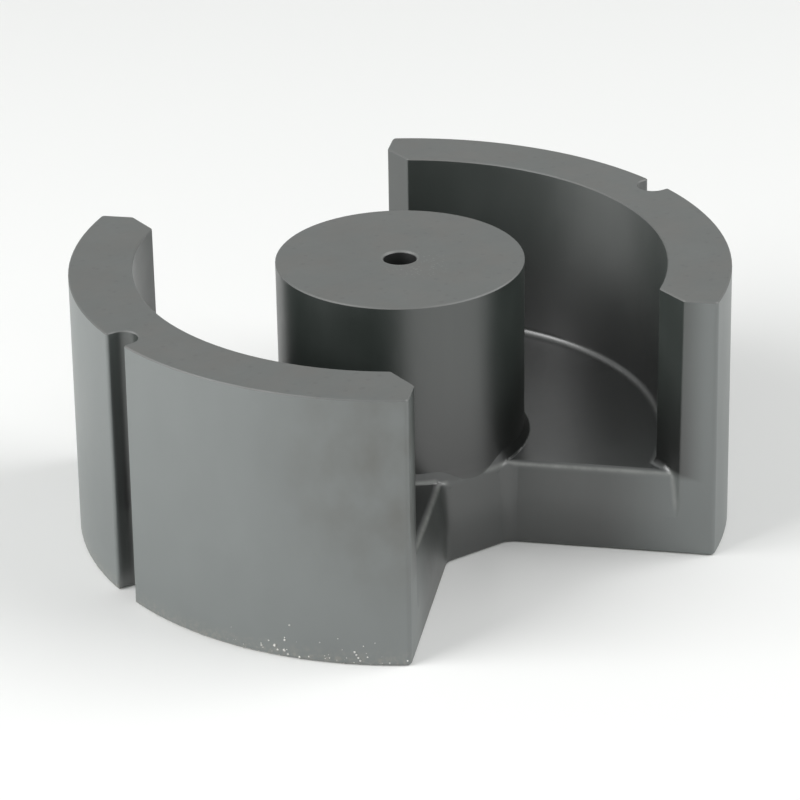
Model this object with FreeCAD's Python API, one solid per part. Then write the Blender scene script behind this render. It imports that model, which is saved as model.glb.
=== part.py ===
import FreeCAD, Part
import math
import os
from FreeCAD import Vector

# One half of a round power core, pressed and sintered in one piece from ferrite.
# The bore axis is Z, the flat base lies on Z = 0, and the mating faces look up.
# The two curved walls stand on the X sides. The leads of the coil leave on the Y sides.

# Heights
core_height = 46.5
window_depth = 31.8

# Sizes about the bore axis
window_radius = 44.75
wall_thickness = 10.65
wall_taper = 0.45
post_radius = 20.9
post_root_height = 1.7
post_root_draft = 1.5
bore_radius = 2.8

# Lead-out cut-outs: a flat side between two slanted sides, under a gap between the walls
flat_distance = 21.95
flat_half_width = 6.45
slant_angle = 45.0
wall_end_width = 6.3
lean_height = 7.9
lean_inset = 1.1

# Clip grooves in the backs of the walls
groove_half_width = 2.65
groove_depth = 4.0

# Flare at the foot of the post, roundings and edge breaks
post_foot_height = 1.6
post_foot_width = 0.85
post_foot_round = 0.4
post_foot_ramp = 60.0
wall_foot_round = 1.2
wall_lip_round = 0.5
wall_end_round = 0.7
wall_back_round = 0.8
groove_mouth_round = 0.5
inner_corner_round = 3.4
floor_edge_round = 1.2
mating_edge_break = 0.2
base_edge_break = 0.4
bore_edge_break = 0.3

# Sizes that follow from the ones above
floor_height = core_height - window_depth
lean_start_height = floor_height - lean_height
wall_outer_radius = window_radius + wall_thickness
base_radius = wall_outer_radius + wall_taper
overshoot = 1.0
reach = 2 * base_radius
slant = math.radians(slant_angle)
lean = math.atan2(lean_inset, lean_height)
near = 1e-3
upright_slope = 5

# Half the gap between the walls, where a plumb wall end of the stated width runs from the
# round pocket out to the slanted side
slant_rise = math.tan(slant)
end_rise = flat_distance - flat_half_width * slant_rise - wall_end_width
gap_root = math.sqrt(window_radius ** 2 * (1 + slant_rise ** 2) - end_rise ** 2)
wall_gap_half = (gap_root - slant_rise * end_rise) / (1 + slant_rise ** 2)
wall_end_y = flat_distance + (wall_gap_half - flat_half_width) * slant_rise

origin = Vector(0, 0, 0)
up = Vector(0, 0, 1)


def both_ends(shape):
    """The shape and its twin turned half round the bore axis."""
    twin = shape.copy()
    twin.rotate(origin, up, 180)
    return [shape, twin]


def point_along(edge, share):
    return edge.valueAt(edge.FirstParameter + share * (edge.LastParameter - edge.FirstParameter))


def is_upright(edge):
    span = point_along(edge, 1) - point_along(edge, 0)
    return abs(span.z) > upright_slope * math.hypot(span.x, span.y)


def line(start, end):
    return Part.LineSegment(start, end).toShape()


def arc(start, middle, end):
    return Part.Arc(start, middle, end).toShape()


def round_blank():
    """The outside of both walls and the base, a little wider at the base."""
    return Part.makeCone(base_radius, wall_outer_radius, core_height)


def post():
    """The post is a true cylinder for the coil former, and widens a little at its root."""
    root_top = floor_height + post_root_height
    widening = root_top * math.tan(math.radians(post_root_draft))
    root = Part.makeCone(post_radius + widening, post_radius, root_top)
    return root.fuse(Part.makeCylinder(post_radius, core_height - root_top, up * root_top))


def winding_space():
    """The round pocket for the coil, opened right across between the ends of the walls."""
    depth = window_depth + overshoot
    pocket = Part.makeCylinder(window_radius, depth, Vector(0, 0, floor_height))
    gap_corner = Vector(-wall_gap_half, -reach, floor_height)
    gap = Part.makeBox(2 * wall_gap_half, 2 * reach, depth, gap_corner)
    space = pocket.fuse(gap).removeSplitter()
    lips = [e for e in space.Edges if is_upright(e) and abs(point_along(e, 0).y) < window_radius]
    return space.makeFillet(wall_lip_round, lips).cut(post())


def lead_out_path():
    """The foot of one cut-out's sides: slanted, flat and slanted, with rounded corners between."""
    corner_run = inner_corner_round * math.tan(slant / 2)
    outward = Vector(-math.cos(slant), -math.sin(slant), 0)
    corner = Vector(-flat_half_width, -flat_distance, 0)
    far_left = corner + outward * reach
    slant_end = corner + outward * corner_run
    flat_start = corner + Vector(corner_run, 0, 0)
    round_centre = flat_start - Vector(0, inner_corner_round, 0)
    half_way = math.pi / 2 + slant / 2
    round_middle = round_centre + Vector(math.cos(half_way), math.sin(half_way), 0) * inner_corner_round
    left = [far_left, slant_end, round_middle, flat_start]
    right = [Vector(-p.x, p.y, p.z) for p in left]
    return [
        line(left[0], left[1]),
        arc(left[1], left[2], left[3]),
        line(left[3], right[3]),
        arc(right[3], right[2], right[1]),
        line(right[1], right[0]),
    ]


def profile_point(inset, height):
    """A point on the cross-section at the path's start; the inset grows into the base."""
    start = point_along(lead_out_path()[0], 0)
    inward = Vector(-math.sin(slant), math.cos(slant), 0)
    return start + inward * inset + up * height


def sweep_along_cut_out(profile):
    return Part.Wire(lead_out_path()).makePipeShell([Part.Wire(profile)], True, False)


def plumb_opening():
    """The part of a cut-out that goes straight down through the walls and the base."""
    sides = lead_out_path()
    closing = line(point_along(sides[-1], 1), point_along(sides[0], 0))
    plan = Part.Face(Part.Wire(sides + [closing]))
    opening = plan.extrude(up * (core_height + 2 * overshoot))
    opening.translate(up * -overshoot)
    return opening


def edge_round_start():
    """Inset and height where the leaning side runs into the rounded floor edge."""
    setback = floor_edge_round * math.tan((math.pi / 2 - lean) / 2)
    return lean_inset - setback * math.sin(lean), floor_height - setback * math.cos(lean)


def edge_round_end():
    """Inset where the rounded floor edge runs into the flat floor."""
    return lean_inset + floor_edge_round * math.tan((math.pi / 2 - lean) / 2)


def leaning_shoulder():
    """The base's sides lean in towards the floor and turn over into it with a round edge."""
    first_inset, first_height = edge_round_start()
    last_inset = edge_round_end()
    middle_turn = math.pi / 2 + (math.pi / 2 - lean) / 2
    middle_inset = last_inset + floor_edge_round * math.cos(middle_turn)
    middle_height = floor_height - floor_edge_round + floor_edge_round * math.sin(middle_turn)
    outside_foot = profile_point(-overshoot, lean_start_height)
    foot = profile_point(0, lean_start_height)
    round_start = profile_point(first_inset, first_height)
    round_middle = profile_point(middle_inset, middle_height)
    round_end = profile_point(last_inset, floor_height)
    above_end = profile_point(last_inset, floor_height + overshoot)
    above_outside = profile_point(-overshoot, floor_height + overshoot)
    shoulder = sweep_along_cut_out([
        line(outside_foot, foot),
        line(foot, round_start),
        arc(round_start, round_middle, round_end),
        line(round_end, above_end),
        line(above_end, above_outside),
        line(above_outside, outside_foot),
    ])
    gap_corner = Vector(-wall_gap_half, -reach, 0)
    between_walls = Part.makeBox(2 * wall_gap_half, 2 * reach, core_height, gap_corner)
    return shoulder.common(between_walls).cut(post())


def wall_foot_edges(core):
    """Edges where the floor and the leaning sides meet the walls."""
    def lies_on_wall(point):
        radius = math.hypot(point.x, point.y)
        on_gap = abs(abs(point.x) - wall_gap_half) < near
        on_pocket = abs(radius - window_radius) < near
        beside_lip = wall_gap_half - near < abs(point.x) < wall_gap_half + wall_lip_round
        on_lip = beside_lip and abs(radius - window_radius) < wall_lip_round
        return on_gap or on_pocket or on_lip

    def is_foot(edge):
        points = [point_along(edge, share) for share in (0, 0.25, 0.5, 0.75, 1)]
        in_height = all(lean_start_height - near < p.z < floor_height + near for p in points)
        straight_up = math.hypot((points[4] - points[0]).x, (points[4] - points[0]).y) < near
        return in_height and not straight_up and all(lies_on_wall(p) for p in points)

    return [e for e in core.Edges if is_foot(e)]


def post_foot_outline():
    """Half the flare's cross-section: a steep cone off the post, then a small round to the floor."""
    buried_radius = post_radius / 2
    steepness = math.atan2(post_foot_height, post_foot_width)
    setback = post_foot_round * math.tan(steepness / 2)
    up_the_side = Vector(-math.cos(steepness), 0, math.sin(steepness))
    corner = Vector(post_radius + post_foot_width, 0, floor_height)
    toe = corner + Vector(setback, 0, 0)
    side_end = corner + up_the_side * setback
    round_centre = toe + up * post_foot_round
    to_corner = (corner - round_centre).normalize()
    round_middle = round_centre + to_corner * post_foot_round
    top = corner + up_the_side * (post_foot_height / math.sin(steepness) + overshoot)
    buried_top = Vector(buried_radius, 0, top.z)
    sunk_toe = toe - up * overshoot
    buried_toe = Vector(buried_radius, 0, sunk_toe.z)
    return Part.Wire([
        line(top, side_end),
        arc(side_end, round_middle, toe),
        line(toe, sunk_toe),
        line(sunk_toe, buried_toe),
        line(buried_toe, buried_top),
        line(buried_top, top),
    ])


def post_foot():
    """The flare round the foot of the post, faded out beside the lead-out cut-outs."""
    flare = Part.Face(post_foot_outline()).revolve(origin, up, 360)
    fade_start = edge_round_end()
    high = floor_height + post_foot_height + 2 * overshoot
    fade_end = fade_start + (high - floor_height) / math.tan(math.radians(post_foot_ramp))
    low_outside = profile_point(-overshoot, floor_height - overshoot)
    low_inside = profile_point(fade_start, floor_height - overshoot)
    ramp_start = profile_point(fade_start, floor_height)
    ramp_end = profile_point(fade_end, high)
    high_outside = profile_point(-overshoot, high)
    faded = sweep_along_cut_out([
        line(low_outside, low_inside),
        line(low_inside, ramp_start),
        line(ramp_start, ramp_end),
        line(ramp_end, high_outside),
        line(high_outside, low_outside),
    ])
    for tool in both_ends(faded) + both_ends(plumb_opening()):
        flare = flare.cut(tool)
    return flare


def clip_groove():
    """A round-bottomed groove down the back of the wall on the +X side."""
    height = core_height + 2 * overshoot
    centre_x = wall_outer_radius - groove_depth + groove_half_width
    bottom = Part.makeCylinder(groove_half_width, height, Vector(centre_x, 0, -overshoot))
    mouth_corner = Vector(centre_x, -groove_half_width, -overshoot)
    mouth = Part.makeBox(reach, 2 * groove_half_width, height, mouth_corner)
    return bottom.fuse(mouth).removeSplitter()


def bore():
    return Part.makeCylinder(bore_radius, core_height + 2 * overshoot, Vector(0, 0, -overshoot))


def wall_end_edges(core):
    """Upright edges where the plumb ends of the walls turn onto the slanted sides."""
    def matches(edge):
        middle = point_along(edge, 0.5)
        on_end = abs(abs(middle.x) - wall_gap_half) < near and abs(abs(middle.y) - wall_end_y) < near
        return on_end and is_upright(edge) and edge.Length > window_depth / 2

    return [e for e in core.Edges if matches(e)]


def wall_back_edges(core, beside_groove):
    """Upright edges of the walls' tapered backs, at the clip grooves or at the slanted sides."""
    def matches(edge):
        middle = point_along(edge, 0.5)
        on_back = math.hypot(middle.x, middle.y) > wall_outer_radius - near
        in_groove = abs(middle.y) < groove_half_width + near
        return on_back and is_upright(edge) and in_groove == beside_groove

    return [e for e in core.Edges if matches(e)]


def edges_at(core, height, in_bore):
    """Edges that lie flat at one height, either round the bore or everywhere else."""
    def matches(edge):
        middle = point_along(edge, 0.5)
        level = edge.BoundBox.ZLength < near and abs(middle.z - height) < near
        round_bore = math.hypot(middle.x, middle.y) < bore_radius + near
        return level and round_bore == in_bore

    return [e for e in core.Edges if matches(e)]


def core_half():
    core = round_blank().cut(winding_space())
    for tool in both_ends(plumb_opening().fuse(leaning_shoulder())):
        core = core.cut(tool)
    core = core.removeSplitter()
    core = core.makeFillet(wall_foot_round, wall_foot_edges(core))
    core = core.fuse(post_foot()).removeSplitter()
    for tool in both_ends(clip_groove()) + [bore()]:
        core = core.cut(tool)
    core = core.makeFillet(groove_mouth_round, wall_back_edges(core, True))
    core = core.makeFillet(wall_back_round, wall_back_edges(core, False))
    core = core.makeFillet(wall_end_round, wall_end_edges(core))
    core = core.makeChamfer(mating_edge_break, edges_at(core, core_height, False))
    core = core.makeChamfer(base_edge_break, edges_at(core, 0, False))
    return core.makeChamfer(bore_edge_break, edges_at(core, core_height, True) + edges_at(core, 0, True))


os.makedirs("parts", exist_ok=True)
core_half().exportStep("parts/core_half.step")
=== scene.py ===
import bmesh
import bpy
import math
import random
from mathutils import Matrix, Vector


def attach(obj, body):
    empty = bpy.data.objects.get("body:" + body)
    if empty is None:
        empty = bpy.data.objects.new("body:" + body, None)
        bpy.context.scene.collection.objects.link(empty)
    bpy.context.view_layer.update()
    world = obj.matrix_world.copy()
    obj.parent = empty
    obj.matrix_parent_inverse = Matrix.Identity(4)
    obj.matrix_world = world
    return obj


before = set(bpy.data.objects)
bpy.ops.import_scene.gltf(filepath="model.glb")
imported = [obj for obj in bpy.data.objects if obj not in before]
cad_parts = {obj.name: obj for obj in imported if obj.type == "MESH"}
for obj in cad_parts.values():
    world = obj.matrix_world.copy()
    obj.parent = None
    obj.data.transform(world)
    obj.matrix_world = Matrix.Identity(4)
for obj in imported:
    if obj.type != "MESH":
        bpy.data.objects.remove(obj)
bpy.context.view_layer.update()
print("scene: frame loaded")

mm = 0.001

# Sizes of the solid that its finish and the foot fades follow, in mm
solid = {
    "zero": 0.0,                # for what counts from nothing
    "height": 46.5,
    "floorHeight": 14.7,        # the floor of the winding space
    "postRadius": 20.9,
    "postFoot": 21.7,           # where the flared foot of the post meets the floor
    "wallFoot": 44.1,           # the rounding at the foot of the walls
    "outerRadius": 55.4,        # the walls' backs
    "boreRadius": 2.8,
    "grooveHalfWidth": 2.65,
    "gap": 26.71,               # from the middle to the ends of the walls
    "flatDistance": 21.95,      # from the middle to a cut-out's straight side
    "flatHalfWidth": 6.45,      # half the width of that straight side
    "edgeRound": 1.2,           # rounding of the floor's edge along a cut-out
    "edgeEnd": 2.15,            # how far in from the cut-out that rounding ends
    "leanStart": 6.8,           # height where a cut-out's side begins to lean in
    "leanSlope": 0.139,         # mm that it leans in per mm of height
}


def linearColour(hexText):
    # sRGB hex to the linear values that the shaders take
    channels = [int(hexText[i:i + 2], 16) / 255 for i in (1, 3, 5)]
    return [c / 12.92 if c <= 0.04045 else ((c + 0.055) / 1.055) ** 2.4 for c in channels] + [1.0]


def addNode(tree, kind, settings=None, links=None):
    # one node with its settings, and its inputs set to values or linked: a node stands for its first output
    node = tree.nodes.new(kind)
    for name, value in (settings or {}).items():
        setattr(node, name, value)
    for name, value in (links or {}).items():
        socket = node.inputs[name]
        if isinstance(value, bpy.types.Node):
            value = value.outputs[0]
        if isinstance(value, bpy.types.NodeSocket):
            tree.links.new(value, socket)
        else:
            socket.default_value = value
    return node


# Camera: the photo's angle, solved from the object's own edges
cameraView = {
    "azimuth": -34.48,      # degrees, 0 looks along +Y
    "elevation": 25.62,
    "roll": -0.91,
    "lens": 151.03,         # mm, on a 36 mm sensor
    "place": (-293.0, -426.0, 268.0),   # mm
}


def turnTo(azimuth, elevation, roll=0.0):
    # the rotation of a camera or lamp that looks at the middle from that side
    return (Matrix.Rotation(math.radians(azimuth), 4, "Z")
            @ Matrix.Rotation(math.radians(90 - elevation), 4, "X")
            @ Matrix.Rotation(math.radians(roll), 4, "Z"))


def makeCamera(view):
    data = bpy.data.cameras.new("camera")
    data.lens = view["lens"]
    data.sensor_width = 36
    camera = bpy.data.objects.new("camera", data)
    place = Matrix.Translation(Vector(view["place"]) * mm)
    camera.matrix_world = place @ turnTo(view["azimuth"], view["elevation"], view["roll"])
    bpy.context.scene.collection.objects.link(camera)
    bpy.context.scene.camera = camera


makeCamera(cameraView)
print("scene: camera placed")

# Studio: a pale table, a white surround and three softboxes
studio = {
    "floorColour": "#EFEFEE",
    "floorRoughness": 0.9,
    "floorSheen": 0.1,          # specular level
    "floorReach": 6000,         # mm to each side
    "surroundColour": "#EEF1F0",
    "surroundLevel": 0.44,      # how strongly the surround lights the object
    "lamps": {
        # name: azimuth and elevation in degrees, distance and size in mm, watts
        "softboxLeft": (-102, 38, 1000, 700, 5.4),
        "softboxLow": (-100, 20, 1000, 700, 4.3),
        "softboxRight": (53, 47, 1000, 700, 5.8),
    },
}


def makeLamp(name, azimuth, elevation, distance, size, watts):
    data = bpy.data.lights.new(name, "AREA")
    data.shape = "SQUARE"
    data.size = size * mm
    data.energy = watts
    lamp = bpy.data.objects.new(name, data)
    turn = turnTo(azimuth, elevation)
    lamp.matrix_world = Matrix.Translation(turn @ Vector((0, 0, distance * mm))) @ turn
    bpy.context.scene.collection.objects.link(lamp)


def makeFloor(values):
    reach = values["floorReach"] * mm
    mesh = bpy.data.meshes.new("floor")
    corners = [(-reach, -reach, 0), (reach, -reach, 0), (reach, reach, 0), (-reach, reach, 0)]
    mesh.from_pydata(corners, [], [(0, 1, 2, 3)])
    floor = bpy.data.objects.new("floor", mesh)
    bpy.context.scene.collection.objects.link(floor)
    # matte paper: an even pale ground with next to no sheen, on which only the soft shadow shows
    material = bpy.data.materials.new("palePaper")
    material.use_nodes = True
    shader = material.node_tree.nodes["Principled BSDF"]
    shader.inputs["Base Color"].default_value = linearColour(values["floorColour"])
    shader.inputs["Roughness"].default_value = values["floorRoughness"]
    shader.inputs["Specular IOR Level"].default_value = values["floorSheen"]
    mesh.materials.append(material)


def makeSurround(values):
    # the camera and reflections see plain white paper; the light it gives is set apart
    world = bpy.data.worlds.new("surround")
    bpy.context.scene.world = world
    world.use_nodes = True
    tree = world.node_tree
    tree.nodes.clear()
    colour = linearColour(values["surroundColour"])
    path = addNode(tree, "ShaderNodeLightPath")
    seen = addNode(tree, "ShaderNodeMath", {"operation": "MAXIMUM"},
                   {0: path.outputs["Is Camera Ray"], 1: path.outputs["Is Glossy Ray"]})
    seen = addNode(tree, "ShaderNodeMath", {"operation": "MAXIMUM"},
                   {0: seen, 1: path.outputs["Is Transmission Ray"]})
    shown = addNode(tree, "ShaderNodeBackground", None, {"Color": colour, "Strength": 1.0})
    lit = addNode(tree, "ShaderNodeBackground", None,
                  {"Color": colour, "Strength": values["surroundLevel"]})
    either = addNode(tree, "ShaderNodeMixShader", None, {0: seen, 1: lit, 2: shown})
    addNode(tree, "ShaderNodeOutputWorld", None, {"Surface": either})


makeSurround(studio)
makeFloor(studio)
for lampName, lampValues in studio["lamps"].items():
    makeLamp(lampName, *lampValues)
print("scene: studio lit")

# Core: sintered manganese-zinc ferrite, satin where it was pressed and fired, matte where it was ground.
# An area is a list of rows, and lies where all of them are met. A row holds a measure, a size of the solid
# and two offsets from it, in mm where the measure is a length. "from" is unmet at the first offset and met
# at the second. "near" is met at the first offset and fades out over the second to both sides.
core = {
    "innerColour": "#262C29",
    # painted shade: the lower inside and the bore, near black
    "deepShadeColour": "#060806",
    "sideColour": "#292C2A",
    # painted light: the backs of the walls and base made paler, a painted sheen of the bright surround
    "outerLitColour": "#5E6362",
    "groundColour": "#3B3E3C",
    "warmColour": "#423D38",
    "poreColour": "#232423",
    # pale: the painted highlights along rounded edges and fillets, partly edge wear, and the grit on the
    # ground faces
    "paleHighlightWearAndGritColour": "#8F918D",
    # a brownish stain near the outer wall's front end, partly painted shade
    "stainAndShadeColour": "#3D3B33",
    "dustColour": "#8B867A",
    "innerRoughness": 0.38,
    "deepRoughness": 0.34,
    "outerRoughness": 0.42,
    "boreRoughness": 0.45,
    "groundRoughness": 0.58,
    "refraction": 2.0,          # high, so even a dull face shows a sheen

    "skinMottle": 0.10,         # share by which the fired skin's brightness wanders
    "groundMottle": 0.08,
    "roughMottle": 0.10,
    "warmShare": 0.35,
    "poreShare": 0.4,
    "gritShare": 0.25,
    "stainAndShadeShare": 0.75,
    "dustShare": 0.55,
    "highlightAndWearShare": 0.7,
    "highlightAndWearLeast": 0.45,          # what is left of a pale line, painted highlight and partly wear, where it is most broken

    "poreSpacing": 2.4,         # mm; real pores are finer than a hair, so these are drawn coarser
    "poreDepth": 0.01,          # mm
    "skinBump": 0.006,          # mm
    "gritSpacing": 0.7,         # mm, pale grit beside the bore, drawn coarser too
    "gritPlace": (0.5, -4.0, 46.5),
    "stainPlace": (-30.5, -46.2, 33.0),
    "shadedStretchAt": -1.6,        # mm along x, middle of the stretch of floor edge that the post shades, where the painted highlight is left out
    "creaseSoftening": 2.5,     # mm to each side of the lean's foot
    "groundDepth": 0.22,        # mm, how far down the ground faces and their broken edges reach

    "patterns": {
        # name: blotch width in mm, times that it is longer along x, y and z, detail, roughness, output
        "blotches": (9.0, (1, 1, 1.6), 5.0, 0.55, "Fac"),
        "streaks": (1.3, (1, 1, 30), 3.0, 0.5, "Fac"),          # the die's upright marks
        "stainPatches": (6.0, (1, 1, 1.4), 3.0, 0.5, "Fac"),
        "powder": (0.9, (1, 1, 1), 5.0, 0.7, "Fac"),            # dust, coarser than real to show
        "mottle": (6.0, (1, 1, 1), 6.0, 0.65, "Fac"),
        "grindingLines": (0.5, (28, 1, 1), 2.0, 0.5, "Fac"),    # real ones are too fine to show
        "warmth": (8.0, (1, 1, 1), 3.0, 0.6, "Color"),
        "brokenHighlightAndWear": (3.0, (1, 1, 1), 4.0, 0.6, "Fac"),
        "pebbles": (0.8, (1, 1, 1), 3.0, 0.6, "Fac"),
    },
    "areas": {
        "base": [("height", "from", "floorHeight", 0.6, -1.2)],
        "wallBacks": [("radius", "from", "outerRadius", -5.9, -0.9)],
        "baseBacks": [("height", "from", "floorHeight", 0.6, -1.2),
                      ("radius", "from", "outerRadius", -19.4, -3.4)],
        "groove": [("along", "from", "grooveHalfWidth", 0.3, -0.2),
                   ("radius", "from", "outerRadius", 0.0, -0.8)],
        "bore": [("radius", "from", "boreRadius", 0.25, 0.1)],
        # where the inside is painted darker as shade, fully at the floor and fading out higher up
        "deepInside": [("height", "from", "floorHeight", 26.3, 0.0)],
        "stainAndShade": [("fromStain", "from", "zero", 28.0, 7.0), ("stainPatches", "from", "zero", 0.15, 0.85)],
        "dust": [("height", "from", "zero", 3.6, 0.0), ("powder", "from", "zero", 0.4, 0.75),
                 ("radius", "from", "outerRadius", -0.8, 0.0), ("x", "from", "zero", 0.0, -5.0)],
        "warm": [("warmth", "from", "zero", 0.4, 0.65)],
        "pores": [("poreMiddle", "from", "zero", 0.22, 0.08), ("poreChance", "from", "zero", 0.5, 0.9)],
        "grit": [("gritMiddle", "from", "zero", 0.3, 0.12), ("gritChance", "from", "zero", 0.4, 0.9),
                 ("fromGrit", "from", "zero", 8.0, 2.0)],
        "crease": [("across", "from", "gap", -0.3, -2.3), ("inset", "from", "zero", 1.6, 1.1)],
    },
    "highlightAndWearLines": {
        # name: strength and rows; pale lines along rounded edges and fillets, painted highlights and partly
        # edge wear
        "floorEdge": (1.0, [("inset", "near", "zero", 1.35, 0.5),
                            ("height", "near", "floorHeight", -0.6, 0.9),
                            ("across", "from", "gap", 0.2, -0.4),
                            ("fromShadedStretch", "from", "zero", 3.1, 4.5)]),
        "postToeRight": (0.6, [("radius", "near", "postFoot", 0.0, 0.45),
                               ("height", "near", "floorHeight", -0.6, 0.9),
                               ("x", "from", "zero", 6.0, 9.0)]),
        "postToeLeft": (1.0, [("radius", "near", "postFoot", -0.1, 0.55),
                              ("height", "near", "floorHeight", 0.25, 0.6),
                              ("x", "from", "zero", -6.8, -7.8)]),
        "wallToe": (0.45, [("radius", "near", "wallFoot", 0.0, 0.5),
                           ("height", "near", "floorHeight", 0.4, 0.5)]),
        "wallEndToe": (0.6, [("across", "near", "gap", -0.25, 0.45),
                             ("height", "from", "floorHeight", 0.7, -0.1),
                             ("height", "from", "leanStart", -0.3, 3.2),
                             ("inset", "from", "zero", 3.4, 2.4)]),
        "baseEdge": (1.0, [("height", "near", "zero", 0.1, 0.4)]),
        "boreRim": (0.25, [("radius", "near", "boreRadius", 0.2, 0.4),
                           ("ground", "from", "zero", 0.0, 1.0)]),
    },
    "noiseReach": (0.3, 0.7),   # most of a noise lies between these
    "highlightAndWearBreaks": (0.3, 0.6),   # noise under which a pale line, painted highlight and partly wear, breaks, and over which it is whole
}


def placeInMm(tree):
    # the point on the piece that is being shaded
    point = addNode(tree, "ShaderNodeTexCoord").outputs["Object"]
    return addNode(tree, "ShaderNodeVectorMath", {"operation": "MULTIPLY"},
                   {0: point, 1: (1 / mm, 1 / mm, 1 / mm)})


def mask(tree, measures, rows, *factors):
    # 1 where every row is met, times the factors
    parts = []
    for measure, word, size, first, second in rows:
        value = measures[measure]
        unmet, met = solid[size] + first, solid[size] + second
        if word == "near":
            value = addNode(tree, "ShaderNodeMath", {"operation": "SUBTRACT"}, {0: value, 1: unmet})
            value = addNode(tree, "ShaderNodeMath", {"operation": "ABSOLUTE"}, {0: value})
            unmet, met = second, 0.0
        parts.append(addNode(tree, "ShaderNodeMapRange", {"interpolation_type": "SMOOTHSTEP"},
                             {"Value": value, "From Min": unmet, "From Max": met}))
    parts.extend(factors)
    product = parts[0]
    for part in parts[1:]:
        product = addNode(tree, "ShaderNodeMath", {"operation": "MULTIPLY"}, {0: product, 1: part})
    return product


def paint(tree, under, coats):
    # coats of colour laid over one another, each where its mask is 1
    for where, colour in coats:
        under = addNode(tree, "ShaderNodeMix", {"data_type": "RGBA"},
                        {0: where, 6: under, 7: linearColour(colour)}).outputs[2]
    return under


def mottled(tree, colour, noises, reach, share):
    # the colour's brightness wanders by that share with the sum of two noises
    both = addNode(tree, "ShaderNodeMath", {"operation": "ADD"}, dict(enumerate(noises)))
    factor = addNode(tree, "ShaderNodeMapRange", None,
                     {"Value": both, "From Min": 2 * reach[0], "From Max": 2 * reach[1],
                      "To Min": 1 - share, "To Max": 1 + share})
    return addNode(tree, "ShaderNodeVectorMath", {"operation": "SCALE"}, {0: colour, "Scale": factor})


def measureSolid(tree, values, place):
    # all that a row may name: where a point lies on the core, and the patterns there
    axes = addNode(tree, "ShaderNodeSeparateXYZ", None, {0: place})
    level = addNode(tree, "ShaderNodeVectorMath", {"operation": "MULTIPLY"}, {0: place, 1: (1, 1, 0)})
    radius = addNode(tree, "ShaderNodeVectorMath", {"operation": "LENGTH"}, {0: level}).outputs["Value"]
    across = addNode(tree, "ShaderNodeMath", {"operation": "ABSOLUTE"}, {0: axes.outputs["X"]})
    along = addNode(tree, "ShaderNodeMath", {"operation": "ABSOLUTE"}, {0: axes.outputs["Y"]})
    ground = addNode(tree, "ShaderNodeMath", {"operation": "GREATER_THAN"},
                     {0: axes.outputs["Z"], 1: solid["height"] - values["groundDepth"]})
    measures = {"x": axes.outputs["X"], "height": axes.outputs["Z"], "radius": radius,
                "across": across, "along": along, "ground": ground}

    # how far a point lies behind a cut-out's side, straight or slanting
    straight = addNode(tree, "ShaderNodeMath", {"operation": "SUBTRACT"},
                       {0: solid["flatDistance"], 1: along})
    beyond = addNode(tree, "ShaderNodeMath", {"operation": "SUBTRACT"},
                     {0: across, 1: solid["flatHalfWidth"]})
    slanting = addNode(tree, "ShaderNodeMath", {"operation": "ADD"}, {0: straight, 1: beyond})
    slanting = addNode(tree, "ShaderNodeMath", {"operation": "MULTIPLY"},
                       {0: slanting, 1: math.sqrt(0.5)})
    measures["inset"] = addNode(tree, "ShaderNodeMath", {"operation": "MAXIMUM"},
                                {0: straight, 1: slanting})

    # distance along x from the stretch of floor edge that the post shades, where no painted highlight is
    # drawn
    aside = addNode(tree, "ShaderNodeMath", {"operation": "SUBTRACT"},
                    {0: axes.outputs["X"], 1: values["shadedStretchAt"]})
    measures["fromShadedStretch"] = addNode(tree, "ShaderNodeMath", {"operation": "ABSOLUTE"}, {0: aside})
    for name, spot in (("fromStain", values["stainPlace"]), ("fromGrit", values["gritPlace"])):
        measures[name] = addNode(tree, "ShaderNodeVectorMath", {"operation": "DISTANCE"},
                                 {0: place, 1: spot}).outputs["Value"]

    for name, (width, longer, detail, rough, output) in values["patterns"].items():
        drawn = addNode(tree, "ShaderNodeVectorMath", {"operation": "DIVIDE"}, {0: place, 1: longer})
        noise = addNode(tree, "ShaderNodeTexNoise", None,
                        {"Vector": drawn, "Scale": 1 / width, "Detail": detail, "Roughness": rough})
        measures[name] = noise.outputs[output]
    for name, spacing, channel in (("pore", values["poreSpacing"], 0), ("grit", values["gritSpacing"], 1)):
        cells = addNode(tree, "ShaderNodeTexVoronoi", {"voronoi_dimensions": "2D"},
                        {"Vector": place, "Scale": 1 / spacing})
        chance = addNode(tree, "ShaderNodeSeparateColor", None, {0: cells.outputs["Color"]})
        measures[name + "Middle"] = cells.outputs["Distance"]
        measures[name + "Chance"] = chance.outputs[channel]
    return measures


def layAreas(tree, values, measures):
    # a mask for each area that has rows, and for those that are put together from others
    areas = {name: mask(tree, measures, rows) for name, rows in values["areas"].items()}
    backs = addNode(tree, "ShaderNodeMath", {"operation": "MAXIMUM"},
                    {0: areas["wallBacks"], 1: areas["baseBacks"]})
    areas["outer"] = mask(tree, areas, [("groove", "from", "zero", 1.0, 0.0)], backs)
    # the lower inside and the bore, painted darker as shade
    areas["deep"] = addNode(tree, "ShaderNodeMath", {"operation": "MAXIMUM"},
                            {0: areas["deepInside"], 1: areas["bore"]})
    areas["deepAboveBase"] = mask(tree, areas, [("base", "from", "zero", 1.0, 0.0)], areas["deep"])
    areas["ground"] = measures["ground"]
    return areas


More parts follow.
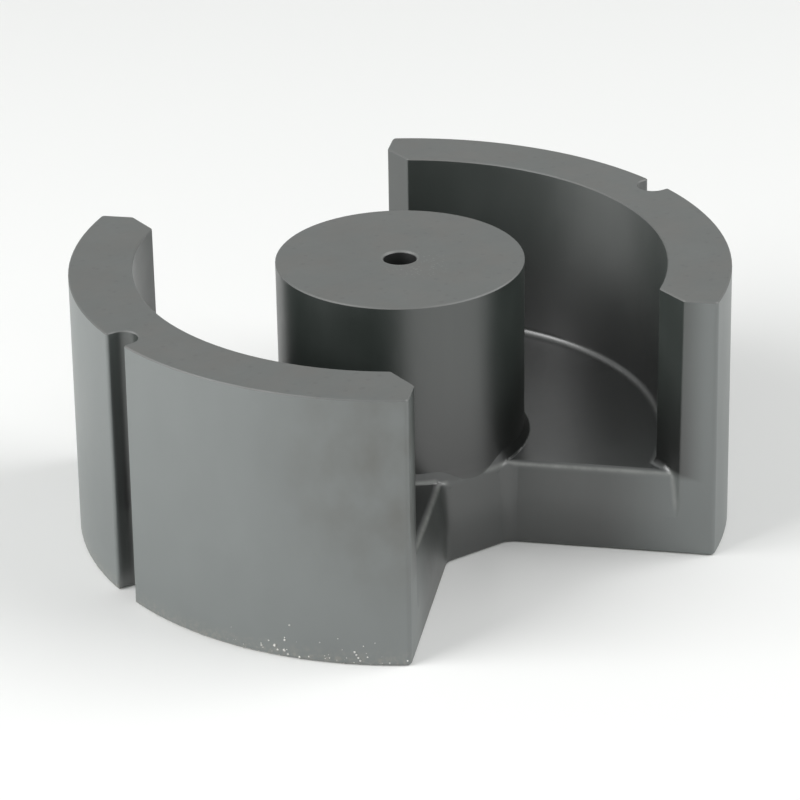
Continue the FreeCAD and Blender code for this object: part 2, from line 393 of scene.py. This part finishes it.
def firedSkin(tree, values, measures, areas):
    # dark inside, with painted shade near black on the lower inside and in the bore, and painted light
    # making the backs paler as a sheen of the bright surround, with blotches and, inside, upright streaks
    skin = paint(tree, linearColour(values["innerColour"]),
                 [(areas["deep"], values["deepShadeColour"]), (areas["base"], values["sideColour"]),
                  (areas["outer"], values["outerLitColour"])])
    streaks = addNode(tree, "ShaderNodeMix", {"data_type": "FLOAT"},
                      {0: areas["outer"], 2: measures["streaks"], 3: sum(values["noiseReach"]) / 2})
    skin = mottled(tree, skin, (measures["blotches"], streaks), values["noiseReach"], values["skinMottle"])

    # a brownish stain next to the outer wall's front end, its darkening there partly painted shade, and
    # dust along its foot
    stainedAndShaded = mask(tree, areas, [], areas["stainAndShade"], areas["outer"], values["stainAndShadeShare"])
    dusty = mask(tree, areas, [], areas["dust"], values["dustShare"])
    return paint(tree, skin, [(stainedAndShaded, values["stainAndShadeColour"]), (dusty, values["dustColour"])])


def groundFace(tree, values, measures, areas):
    # an even mottle, faint grinding lines, warm patches, pores and a little pale grit
    face = mottled(tree, linearColour(values["groundColour"])[:3],
                   (measures["mottle"], measures["grindingLines"]), values["noiseReach"],
                   values["groundMottle"])
    spots = [("warm", "warmShare", "warmColour"), ("pores", "poreShare", "poreColour"),
             ("grit", "gritShare", "paleHighlightWearAndGritColour")]
    return paint(tree, face, [(mask(tree, areas, [], areas[area], values[share]), values[colour])
                              for area, share, colour in spots])


def highlightsAndWornEdges(tree, values, measures):
    # the strongest pale line at each point, painted highlight and partly wear, broken up unevenly
    paleLines = 0.0
    for strength, rows in values["highlightAndWearLines"].values():
        paleLines = addNode(tree, "ShaderNodeMath", {"operation": "MAXIMUM"},
                       {0: paleLines, 1: mask(tree, measures, rows, strength)})
    broken, whole = values["highlightAndWearBreaks"]
    left = addNode(tree, "ShaderNodeMapRange", None,
                   {"Value": measures["brokenHighlightAndWear"], "From Min": broken, "From Max": whole,
                    "To Min": values["highlightAndWearLeast"], "To Max": 1.0})
    return mask(tree, measures, [], paleLines, left, values["highlightAndWearShare"])


def roughness(tree, values, measures, areas):
    # satin skin and duller ground faces, a little uneven where the blotches are
    rough = values["innerRoughness"]
    for area, name in (("deepAboveBase", "deepRoughness"), ("outer", "outerRoughness"),
                       ("bore", "boreRoughness"), ("ground", "groundRoughness")):
        rough = addNode(tree, "ShaderNodeMix", {"data_type": "FLOAT"},
                        {0: areas[area], 2: rough, 3: values[name]})
    low, high = values["noiseReach"]
    uneven = addNode(tree, "ShaderNodeMapRange", None,
                     {"Value": measures["blotches"], "From Min": low, "From Max": high,
                      "To Min": 1 - values["roughMottle"], "To Max": 1 + values["roughMottle"]})
    return mask(tree, areas, [], rough, uneven)


def relief(tree, values, measures, areas):
    # in mm: the sharp foot of the lean is rounded off, the skin is pebbled and the pores are pits
    softening = values["creaseSoftening"]
    nearFoot = addNode(tree, "ShaderNodeMath", {"operation": "SUBTRACT"},
                       {0: measures["height"], 1: solid["leanStart"]})
    nearFoot = addNode(tree, "ShaderNodeMath", {"operation": "ABSOLUTE"}, {0: nearFoot})
    nearFoot = addNode(tree, "ShaderNodeMath", {"operation": "SUBTRACT"}, {0: softening, 1: nearFoot})
    nearFoot = addNode(tree, "ShaderNodeMath", {"operation": "MAXIMUM"}, {0: nearFoot, 1: 0.0})
    height = mask(tree, areas, [], nearFoot, nearFoot, -solid["leanSlope"] / (4 * softening),
                  areas["crease"])
    pebbles = mask(tree, areas, [], measures["pebbles"], values["skinBump"])
    pits = mask(tree, areas, [], areas["pores"], areas["ground"], -values["poreDepth"])
    for part in (pebbles, pits):
        height = addNode(tree, "ShaderNodeMath", {"operation": "ADD"}, {0: height, 1: part})
    return height


def makeFerrite(values):
    # sintered ferrite: nearly black, with a soft sheen on the skin and flat grey faces where it was ground
    material = bpy.data.materials.new("sinteredFerrite")
    material.use_nodes = True
    tree = material.node_tree
    tree.nodes.clear()
    measures = measureSolid(tree, values, placeInMm(tree))
    areas = layAreas(tree, values, measures)
    skin = firedSkin(tree, values, measures, areas)
    face = groundFace(tree, values, measures, areas)
    colour = addNode(tree, "ShaderNodeMix", {"data_type": "RGBA"},
                     {0: areas["ground"], 6: skin, 7: face}).outputs[2]
    # pale lines on edges and fillets: painted highlights, partly wear
    colour = paint(tree, colour, [(highlightsAndWornEdges(tree, values, measures), values["paleHighlightWearAndGritColour"])])
    rough = roughness(tree, values, measures, areas)
    bump = addNode(tree, "ShaderNodeBump", None,
                   {"Strength": 1.0, "Distance": mm, "Height": relief(tree, values, measures, areas)})
    shader = addNode(tree, "ShaderNodeBsdfPrincipled", None,
                     {"Base Color": colour, "Roughness": rough, "IOR": values["refraction"],
                      "Normal": bump})
    addNode(tree, "ShaderNodeOutputMaterial", None, {"Surface": shader})
    return material


ferrite = makeFerrite(core)
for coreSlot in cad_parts["core_half"].material_slots:
    coreSlot.material = ferrite
print("scene: core finished")

# Foot fades: the flare round the foot of the post dies away smoothly beside the cut-outs
footFades = {
    "flareHeight": 1.6,         # mm, as on the solid
    "flareWidth": 0.85,
    "toeWidth": 1.09,
    "startAngle": 61.0,         # degrees from the x axis: it starts just under the solid's flare,
    "proudAngle": 65.5,         # stands just proud of it from here
    "fadeAngle": 69.8,          # to here, where the solid's flare has ended, and
    "endAngle": 87.0,           # dies away to here
    "startShare": 0.95,
    "proudShare": 1.03,
    "leastShare": 0.004,        # keeps its end from folding flat
    "buried": 1.5,              # mm below the floor
    "inPost": 0.6,              # mm inside the post
    "steps": 40,
    "profile": (0.0, 0.25, 0.5, 0.72, 0.82, 0.9, 0.96, 1.0),   # points across, as shares of the toe's width
    "toeSoftening": 0.16,       # share of the height that softens the corner with the floor,
    "toeMiddle": 0.78,          # about this share of the toe's width
    "toeReach": 0.22,
    "sharpAngle": 40,           # degrees, an edge that turns more than this stays sharp
}


def floorAt(across, along):
    # height of the floor there, which rounds off towards a cut-out
    straight = solid["flatDistance"] - along
    slanting = (straight + across - solid["flatHalfWidth"]) * math.sqrt(0.5)
    into = min(max(straight, slanting), solid["edgeEnd"])
    drop = solid["edgeEnd"] - into
    rounding = solid["edgeRound"]
    return solid["floorHeight"] - rounding + math.sqrt(max(rounding ** 2 - drop ** 2, 0.0))


def fadeRing(values, share):
    # one cross-section of a fade, at that share of its way
    angle = values["startAngle"] + (values["endAngle"] - values["startAngle"]) * share
    turned = math.radians(angle)
    rise = min((angle - values["startAngle"]) / (values["proudAngle"] - values["startAngle"]), 1.0)
    fade = max((angle - values["fadeAngle"]) / (values["endAngle"] - values["fadeAngle"]), 0.0)
    size = values["startShare"] + (values["proudShare"] - values["startShare"]) * rise
    size = max(size * (1 + math.cos(math.pi * fade)) / 2, values["leastShare"])
    ridge = values["flareWidth"] / values["toeWidth"]
    ring = []
    for point in values["profile"]:
        reach = solid["postRadius"] + values["toeWidth"] * size * point
        cone = max(1 - point / ridge, 0.0)
        toe = max(1 - abs(point - values["toeMiddle"]) / values["toeReach"], 0.0) ** 2
        height = values["flareHeight"] * size * max(cone, values["toeSoftening"] * toe)
        place = (reach * math.cos(turned), reach * math.sin(turned))
        ring.append((*place, floorAt(*place) + height))
    low = solid["floorHeight"] - values["buried"]
    inner = solid["postRadius"] - values["inPost"]
    start = (inner * math.cos(turned), inner * math.sin(turned))
    return [(*start, low), (*start, ring[0][2])] + ring + [(*ring[-1][:2], low)]


def makeFootFades(values, finish):
    shape = bmesh.new()
    rings = [fadeRing(values, number / values["steps"]) for number in range(values["steps"] + 1)]
    for side in (-1, 1):
        for end in (-1, 1):
            rows = [[shape.verts.new((side * x * mm, end * y * mm, z * mm)) for x, y, z in ring]
                    for ring in rings]
            count = len(rows[0])
            for here, there in zip(rows, rows[1:]):
                for number in range(count):
                    following = (number + 1) % count
                    shape.faces.new((here[number], here[following], there[following], there[number]))
            shape.faces.new(rows[0])
            shape.faces.new(rows[-1])
    bmesh.ops.recalc_face_normals(shape, faces=shape.faces[:])
    mesh = bpy.data.meshes.new("post_foot_fades")
    shape.to_mesh(mesh)
    shape.free()
    mesh.polygons.foreach_set("use_smooth", [True] * len(mesh.polygons))
    mesh.set_sharp_from_angle(angle=math.radians(values["sharpAngle"]))
    mesh.materials.append(finish)
    piece = bpy.data.objects.new("post_foot_fades", mesh)
    bpy.context.scene.collection.objects.link(piece)
    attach(piece, "root")


makeFootFades(footFades, ferrite)
print("scene: foot fades laid")

# Crumbs: pale chips of dust that cling to the outer wall just above the table
crumbs = {
    "colour": "#E2E1DC",
    "shadeColour": "#A9A8A4",
    "shadeBetween": (0.3, 0.7),     # noise that is all shade, and all pale
    "powderWidth": 0.2,         # mm
    "roughness": 0.9,
    "wallRadius": 55.8,         # mm
    "sunk": 0.1,                # share of its size by which a chip's middle lies inside the wall
    "uneven": 0.3,              # how far from round the chips are
    "ripple": 2.1,              # how many bumps go round a chip
    "seed": 7,
    "fineCount": 46,            # scattered along the foot of the wall
    "fineAngles": (-156.0, -124.5),
    "fineLowest": 0.2,          # mm
    "fineHeight": 4.5,          # mm, with most of them far lower:
    "fineCrowding": 2.2,        # the power that crowds them towards the table
    "fineSize": (0.1, 0.24),    # mm
    "places": [
        # angle degrees, height mm, size mm
        (-146.5, 1.9, 0.62), (-146.0, 1.2, 0.4), (-144.8, 1.35, 0.55), (-144.2, 0.7, 0.42),
        (-144.7, 3.2, 0.42), (-142.2, 0.5, 0.45), (-143.8, 6.05, 0.32), (-148.9, 1.5, 0.4),
        (-147.6, 2.6, 0.3), (-140.6, 0.8, 0.34), (-137.1, 1.0, 0.3), (-132.9, 2.4, 0.4),
        (-132.6, 1.9, 0.4), (-132.3, 1.4, 0.4), (-132.0, 0.9, 0.4), (-130.8, 1.6, 0.3),
        (-127.2, 0.6, 0.3), (-124.3, 1.0, 0.34),
    ],
}


def crumbTree(values, finish):
    # a chip of uneven shape, turned at random, on every point and as wide as the point says
    tree = bpy.data.node_groups.new("crumbs", "GeometryNodeTree")
    sockets = {}
    tree.interface.new_socket("Geometry", in_out="INPUT", socket_type="NodeSocketGeometry")
    for name, kind in (("Size", "Float"), ("Uneven", "Float"), ("Seed", "Int")):
        socket = tree.interface.new_socket(name, in_out="INPUT", socket_type="NodeSocket" + kind)
        sockets[name] = socket.identifier
    tree.interface.new_socket("Geometry", in_out="OUTPUT", socket_type="NodeSocketGeometry")
    given = addNode(tree, "NodeGroupInput")
    chip = addNode(tree, "GeometryNodeMeshIcoSphere", None, {"Radius": 0.5, "Subdivisions": 2})
    where = addNode(tree, "GeometryNodeInputPosition")
    ripple = addNode(tree, "ShaderNodeTexNoise", None,
                     {"Vector": where, "Scale": values["ripple"], "Detail": 1.0})
    push = addNode(tree, "ShaderNodeVectorMath", {"operation": "SUBTRACT"},
                   {0: ripple.outputs["Color"], 1: (0.5, 0.5, 0.5)})
    push = addNode(tree, "ShaderNodeVectorMath", {"operation": "SCALE"},
                   {0: push, "Scale": given.outputs["Uneven"]})
    chip = addNode(tree, "GeometryNodeSetPosition", None, {"Geometry": chip, "Offset": push})
    turn = addNode(tree, "FunctionNodeRandomValue", {"data_type": "FLOAT_VECTOR"},
                   {"Max": (math.tau, math.tau, math.tau), "Seed": given.outputs["Seed"]})
    width = addNode(tree, "GeometryNodeInputNamedAttribute", {"data_type": "FLOAT"}, {"Name": "width"})
    width = addNode(tree, "ShaderNodeMath", {"operation": "MULTIPLY"},
                    {0: width, 1: given.outputs["Size"]})
    chips = addNode(tree, "GeometryNodeInstanceOnPoints", None,
                    {"Points": given, "Instance": chip, "Rotation": turn, "Scale": width})
    chips = addNode(tree, "GeometryNodeRealizeInstances", None, {"Geometry": chips})
    chips = addNode(tree, "GeometryNodeSetMaterial", None, {"Geometry": chips, "Material": finish})
    addNode(tree, "NodeGroupOutput", None, {"Geometry": chips})
    return tree, sockets


def makeChalk(values):
    # chalky mineral dust: dead matte, nearly white
    material = bpy.data.materials.new("chalkyDust")
    material.use_nodes = True
    tree = material.node_tree
    tree.nodes.clear()
    powder = addNode(tree, "ShaderNodeTexNoise", None,
                     {"Vector": placeInMm(tree), "Scale": 1 / values["powderWidth"], "Detail": 2.0})
    pale = mask(tree, {"powder": powder}, [("powder", "from", "zero", *values["shadeBetween"])])
    colour = paint(tree, linearColour(values["shadeColour"]), [(pale, values["colour"])])
    shader = addNode(tree, "ShaderNodeBsdfPrincipled", None,
                     {"Base Color": colour, "Roughness": values["roughness"]})
    addNode(tree, "ShaderNodeOutputMaterial", None, {"Surface": shader})
    return material


def makeCrumbs(values):
    draw = random.Random(values["seed"])
    fine = [(draw.uniform(*values["fineAngles"]),
             values["fineLowest"] + values["fineHeight"] * draw.random() ** values["fineCrowding"],
             draw.uniform(*values["fineSize"])) for number in range(values["fineCount"])]
    spots = values["places"] + fine
    points = []
    for angle, height, size in spots:
        turned = math.radians(angle)
        reach = values["wallRadius"] - values["sunk"] * size
        points.append((reach * mm * math.cos(turned), reach * mm * math.sin(turned), height * mm))
    mesh = bpy.data.meshes.new("crumbPlaces")
    mesh.from_pydata(points, [], [])
    width = mesh.attributes.new("width", "FLOAT", "POINT")
    width.data.foreach_set("value", [size for angle, height, size in spots])
    holder = bpy.data.objects.new("crumbPlaces", mesh)
    bpy.context.scene.collection.objects.link(holder)

    tree, sockets = crumbTree(values, makeChalk(values))
    grower = holder.modifiers.new("crumbs", "NODES")
    grower.node_group = tree
    grower[sockets["Size"]] = mm
    grower[sockets["Uneven"]] = values["uneven"]
    grower[sockets["Seed"]] = values["seed"]
    ready = holder.evaluated_get(bpy.context.evaluated_depsgraph_get())
    chips = bpy.data.meshes.new_from_object(ready)
    holder.modifiers.remove(grower)
    piece = bpy.data.objects.new("dust_crumbs", chips)
    bpy.data.objects.remove(holder)
    bpy.context.scene.collection.objects.link(piece)
    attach(piece, "root")


makeCrumbs(crumbs)
print("scene: crumbs laid")

bpy.context.scene.view_settings.view_transform = "Standard"
